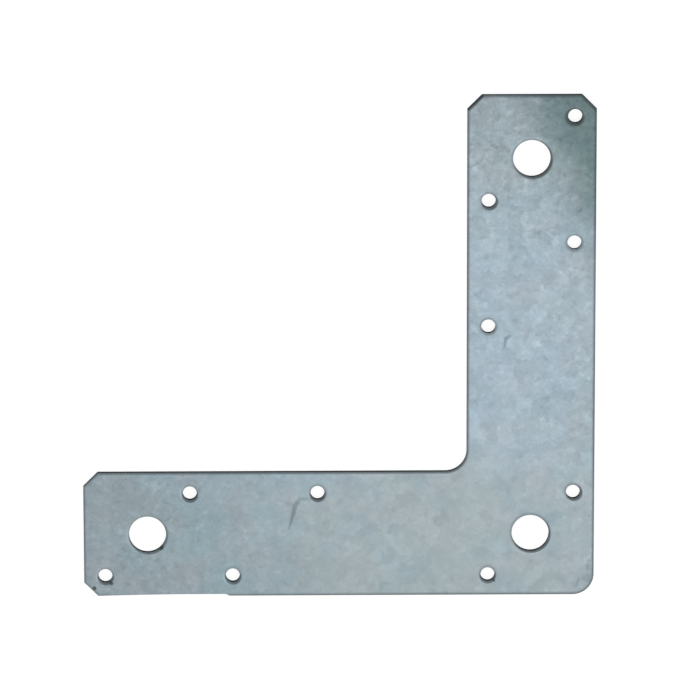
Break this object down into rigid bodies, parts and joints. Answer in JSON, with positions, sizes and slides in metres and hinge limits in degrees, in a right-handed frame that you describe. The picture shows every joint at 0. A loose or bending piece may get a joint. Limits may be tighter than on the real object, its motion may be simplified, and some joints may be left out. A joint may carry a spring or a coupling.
{
  "type": "flat angle bracket",
  "caption": "Flat L-shaped angle bracket, punched from galvanised steel sheet, with bolt holes and staggered nail holes that tie two members meeting at a right angle.",
  "frame": {"origin": "on the axis of the corner bolt hole, at the back face", "axes": "+Z out of the front face along the corner bolt hole, +Y along one arm, -X along the other arm"},
  "size_m": [0.1524, 0.1524, 0.002],
  "materials": {
    "galvanised_steel": "dull zinc coat with a fine spangle, bare dark steel on the sheared edges"
  },
  "bodies": {
    "root": {"corner_plate": "galvanised_steel"}
  },
  "joints": []
}
